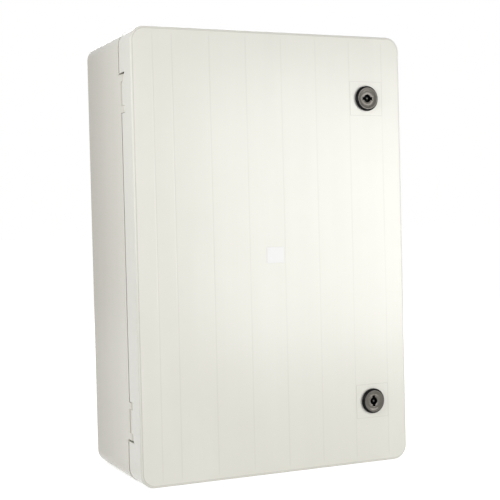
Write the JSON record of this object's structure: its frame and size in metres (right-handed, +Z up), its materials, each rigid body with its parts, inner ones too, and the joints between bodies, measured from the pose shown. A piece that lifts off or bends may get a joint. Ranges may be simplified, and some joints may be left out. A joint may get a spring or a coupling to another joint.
{
  "type": "electrical enclosure",
  "caption": "Wall-mounting plastic electrical enclosure with a side-hinged door, quarter-turn locks and an inner mounting plate.",
  "frame": {"origin": "middle of the flat back face that lies against the wall", "axes": "+X to the right across the front, +Y into the wall, +Z up; the door faces -Y"},
  "size_m": [0.4, 0.2058, 0.6],
  "materials": {
    "housing": "glossy light warm grey moulded plastic",
    "foam": "closed-cell foam, matt",
    "label": "plain white film",
    "zinc_plate": "galvanised sheet",
    "insert_brass": "turned brass",
    "screw_steel": "bright zinc plated",
    "pin_steel": "drawn steel",
    "lock_black": "polished black",
    "rotor_black": "polished black",
    "nut_black": "black moulded",
    "seal_rubber": "black rubber",
    "cam_steel": "zinc plated steel"
  },
  "bodies": {
    "base": {"base_shell": "housing", "mounting_plate": "zinc_plate", "plate_inserts": "insert_brass", "plate_screws": "screw_steel", "lock_strikes": "nut_black", "upper_hinge_pin": "pin_steel", "lower_hinge_pin": "pin_steel"},
    "door": {"door_shell": "housing", "door_gasket": "foam", "blank_label": "label", "upper_lock_housing": "lock_black", "upper_lock_nut": "nut_black", "upper_lock_seal": "seal_rubber", "lower_lock_housing": "lock_black", "lower_lock_nut": "nut_black", "lower_lock_seal": "seal_rubber"},
    "upper_lock": {"upper_lock_rotor": "rotor_black", "upper_lock_ring": "seal_rubber", "upper_lock_cam": "cam_steel", "upper_cam_washer": "cam_steel", "upper_cam_screw": "screw_steel"},
    "lower_lock": {"lower_lock_rotor": "rotor_black", "lower_lock_ring": "seal_rubber", "lower_lock_cam": "cam_steel", "lower_cam_washer": "cam_steel", "lower_cam_screw": "screw_steel"}
  },
  "joints": [
    {"name": "door_hinge", "type": "hinge", "parent": "base", "child": "door", "pos_m": [-0.196, -0.1635, 0], "axis": [0, 0, -1], "range_deg": [0, 110]},
    {"name": "upper_lock_turn", "type": "hinge", "parent": "door", "child": "upper_lock", "pos_m": [0.1445, -0.2003, 0.2125], "axis": [0, -1, 0], "range_deg": [0, 90]},
    {"name": "lower_lock_turn", "type": "hinge", "parent": "door", "child": "lower_lock", "pos_m": [0.1445, -0.2003, -0.2125], "axis": [0, -1, 0], "range_deg": [0, 90]}
  ]
}
